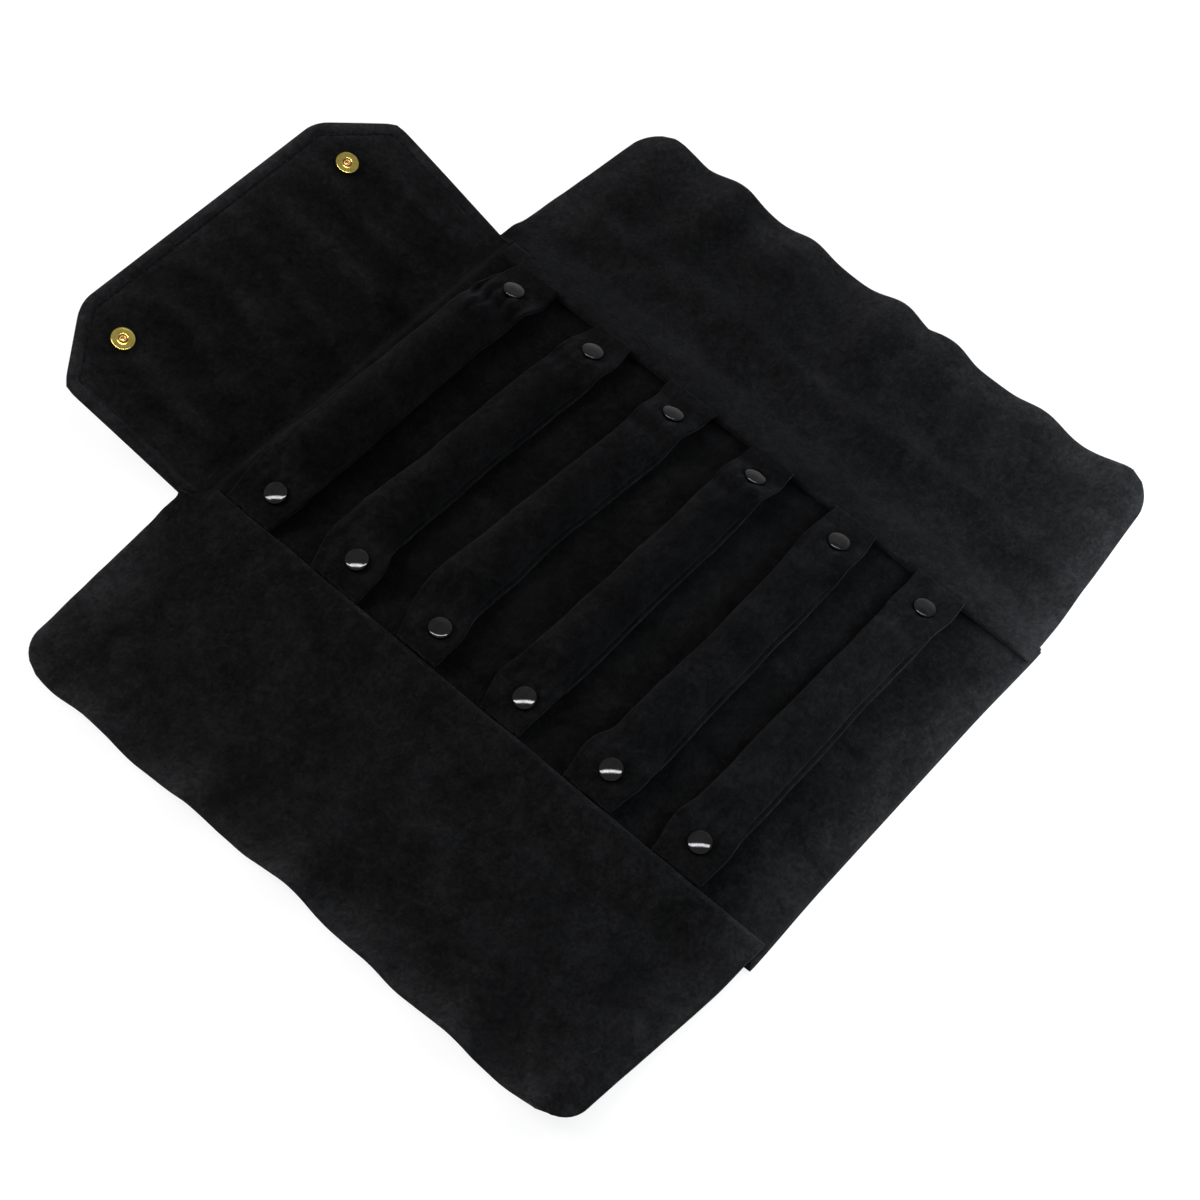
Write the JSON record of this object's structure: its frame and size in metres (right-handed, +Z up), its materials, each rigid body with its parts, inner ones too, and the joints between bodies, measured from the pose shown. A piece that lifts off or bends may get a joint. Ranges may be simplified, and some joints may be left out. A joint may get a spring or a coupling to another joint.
{
  "type": "ring pouch",
  "caption": "Soft suede jewellery roll laid open: padded spine with stuffed ring rolls held by snaps, a folding wing along each side and a snap-closing end flap.",
  "frame": {"origin": "on the underside of the spine, on the table, under the middle of the grid of roll snaps", "axes": "+X across the spine to the right, +Y along it towards the closing flap, +Z up"},
  "size_m": [0.388, 0.3852, 0.0289],
  "materials": {
    "cover_suede": "black brushed suede",
    "lining_suede": "black brushed suede",
    "wing_suede": "black brushed suede",
    "roll_suede": "black brushed suede",
    "felt": "dark grey felt",
    "stuffing": "off-white wadding",
    "black_nickel": "black nickel plate",
    "brass": "dull brass"
  },
  "bodies": {
    "spine": {"spine_cover": "cover_suede", "spine_interlining": "felt", "spine_lining": "lining_suede", "roll_1_left_stud": "black_nickel", "roll_1_right_stud": "black_nickel", "roll_2_left_stud": "black_nickel", "roll_2_right_stud": "black_nickel", "roll_3_left_stud": "black_nickel", "roll_3_right_stud": "black_nickel", "roll_4_left_stud": "black_nickel", "roll_4_right_stud": "black_nickel", "roll_5_left_stud": "black_nickel", "roll_5_right_stud": "black_nickel", "roll_6_left_stud": "black_nickel", "roll_6_right_stud": "black_nickel", "closing_stud_left": "brass", "closing_stud_right": "brass"},
    "flap": {"flap_cover": "cover_suede", "flap_lining": "lining_suede", "flap_left_snap": "brass", "flap_right_snap": "brass"},
    "left_wing": {"left_wing": "wing_suede"},
    "right_wing": {"right_wing": "wing_suede"},
    "roll_1": {"roll_1_cover": "roll_suede", "roll_1_core": "stuffing", "roll_1_left_cap": "black_nickel", "roll_1_left_socket": "black_nickel", "roll_1_right_cap": "black_nickel", "roll_1_right_socket": "black_nickel"},
    "roll_2": {"roll_2_cover": "roll_suede", "roll_2_core": "stuffing", "roll_2_left_cap": "black_nickel", "roll_2_left_socket": "black_nickel", "roll_2_right_cap": "black_nickel", "roll_2_right_socket": "black_nickel"},
    "roll_3": {"roll_3_cover": "roll_suede", "roll_3_core": "stuffing", "roll_3_left_cap": "black_nickel", "roll_3_left_socket": "black_nickel", "roll_3_right_cap": "black_nickel", "roll_3_right_socket": "black_nickel"},
    "roll_4": {"roll_4_cover": "roll_suede", "roll_4_core": "stuffing", "roll_4_left_cap": "black_nickel", "roll_4_left_socket": "black_nickel", "roll_4_right_cap": "black_nickel", "roll_4_right_socket": "black_nickel"},
    "roll_5": {"roll_5_cover": "roll_suede", "roll_5_core": "stuffing", "roll_5_left_cap": "black_nickel", "roll_5_left_socket": "black_nickel", "roll_5_right_cap": "black_nickel", "roll_5_right_socket": "black_nickel"},
    "roll_6": {"roll_6_cover": "roll_suede", "roll_6_core": "stuffing", "roll_6_left_cap": "black_nickel", "roll_6_left_socket": "black_nickel", "roll_6_right_cap": "black_nickel", "roll_6_right_socket": "black_nickel"}
  },
  "joints": [
    {"name": "flap_fold", "type": "hinge", "parent": "spine", "child": "flap", "pos_m": [0, 0.137, 0.0013], "axis": [-1, 0, 0], "range_deg": [-92, 0]},
    {"name": "left_wing_fold", "type": "hinge", "parent": "spine", "child": "left_wing", "pos_m": [-0.089, 0, 0.008], "axis": [0, 1, 0], "range_deg": [0, 145]},
    {"name": "right_wing_fold", "type": "hinge", "parent": "spine", "child": "right_wing", "pos_m": [0.089, 0, 0.008], "axis": [0, -1, 0], "range_deg": [0, 145]},
    {"name": "roll_1_lift", "type": "slide", "parent": "spine", "child": "roll_1", "axis": [0, 0, 1], "range_m": [0, 0.1]},
    {"name": "roll_2_lift", "type": "slide", "parent": "spine", "child": "roll_2", "axis": [0, 0, 1], "range_m": [0, 0.1]},
    {"name": "roll_3_lift", "type": "slide", "parent": "spine", "child": "roll_3", "axis": [0, 0, 1], "range_m": [0, 0.1]},
    {"name": "roll_4_lift", "type": "slide", "parent": "spine", "child": "roll_4", "axis": [0, 0, 1], "range_m": [0, 0.1]},
    {"name": "roll_5_lift", "type": "slide", "parent": "spine", "child": "roll_5", "axis": [0, 0, 1], "range_m": [0, 0.1]},
    {"name": "roll_6_lift", "type": "slide", "parent": "spine", "child": "roll_6", "axis": [0, 0, 1], "range_m": [0, 0.1]}
  ]
}
